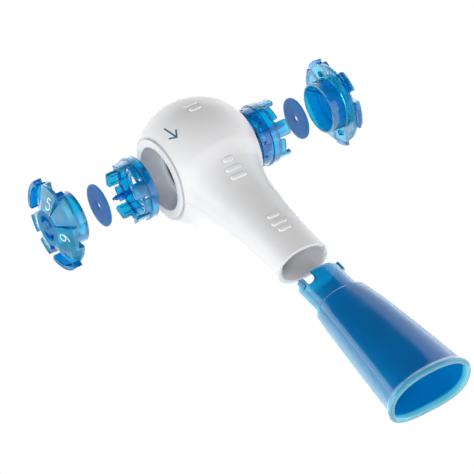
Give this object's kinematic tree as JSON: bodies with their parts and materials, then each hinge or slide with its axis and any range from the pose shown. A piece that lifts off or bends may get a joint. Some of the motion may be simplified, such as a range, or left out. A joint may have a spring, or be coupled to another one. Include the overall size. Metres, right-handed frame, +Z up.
{
  "type": "breathing trainer",
  "caption": "Hand-held breathing trainer: white bulb and neck with a blue turning valve dial in each side port and a flared oval mouthpiece.",
  "frame": {"origin": "under the middle of the box, on the table that the trainer lies on", "axes": "+X along the dial axis towards the exhale dial, -X towards the inhale dial, -Y towards the mouthpiece end, +Z up out of the marked front; the handle axis dips 5.37 degrees towards the mouthpiece"},
  "size_m": [0.159, 0.201, 0.058],
  "materials": {
    "housing_white": "satin moulded white",
    "clear_blue": "glossy translucent blue",
    "disc_blue": "matte flexible"
  },
  "bodies": {
    "housing": {"shell_front": "housing_white", "shell_back": "housing_white", "port_ring_inhale": "housing_white", "port_ring_exhale": "housing_white"},
    "cage_inhale_body": {"cage_inhale": "clear_blue"},
    "disc_inhale_body": {"disc_inhale": "disc_blue"},
    "sleeve_inhale_body": {"sleeve_inhale": "clear_blue"},
    "dial_inhale_body": {"dial_inhale": "clear_blue"},
    "cage_exhale_body": {"cage_exhale": "clear_blue"},
    "disc_exhale_body": {"disc_exhale": "disc_blue"},
    "sleeve_exhale_body": {"sleeve_exhale": "clear_blue"},
    "dial_exhale_body": {"dial_exhale": "clear_blue"},
    "mouthpiece_body": {"mouthpiece": "clear_blue"}
  },
  "joints": [
    {"name": "cage_inhale_slide", "type": "slide", "parent": "housing", "child": "cage_inhale_body", "axis": [-1, 0, 0], "range_m": [-0.0193, 0]},
    {"name": "disc_inhale_slide", "type": "slide", "parent": "cage_inhale_body", "child": "disc_inhale_body", "axis": [-1, 0, 0], "range_m": [-0.0185, 0]},
    {"name": "sleeve_inhale_slide", "type": "slide", "parent": "disc_inhale_body", "child": "sleeve_inhale_body", "axis": [-1, 0, 0], "range_m": [-0.0119, 0]},
    {"name": "dial_inhale_turn", "type": "hinge", "parent": "sleeve_inhale_body", "child": "dial_inhale_body", "pos_m": [-0.0758, 0.07153, 0.029], "axis": [-1, 0, 0], "continuous": true},
    {"name": "cage_exhale_slide", "type": "slide", "parent": "housing", "child": "cage_exhale_body", "axis": [1, 0, 0], "range_m": [-0.0193, 0]},
    {"name": "disc_exhale_slide", "type": "slide", "parent": "cage_exhale_body", "child": "disc_exhale_body", "axis": [1, 0, 0], "range_m": [-0.0191, 0]},
    {"name": "sleeve_exhale_slide", "type": "slide", "parent": "disc_exhale_body", "child": "sleeve_exhale_body", "axis": [1, 0, 0], "range_m": [-0.0113, 0]},
    {"name": "dial_exhale_turn", "type": "hinge", "parent": "sleeve_exhale_body", "child": "dial_exhale_body", "pos_m": [0.0758, 0.07153, 0.029], "axis": [1, 0, 0], "continuous": true},
    {"name": "mouthpiece_slide", "type": "slide", "parent": "housing", "child": "mouthpiece_body", "axis": [0, -0.9956, -0.0936], "range_m": [-0.0276, 0]}
  ]
}
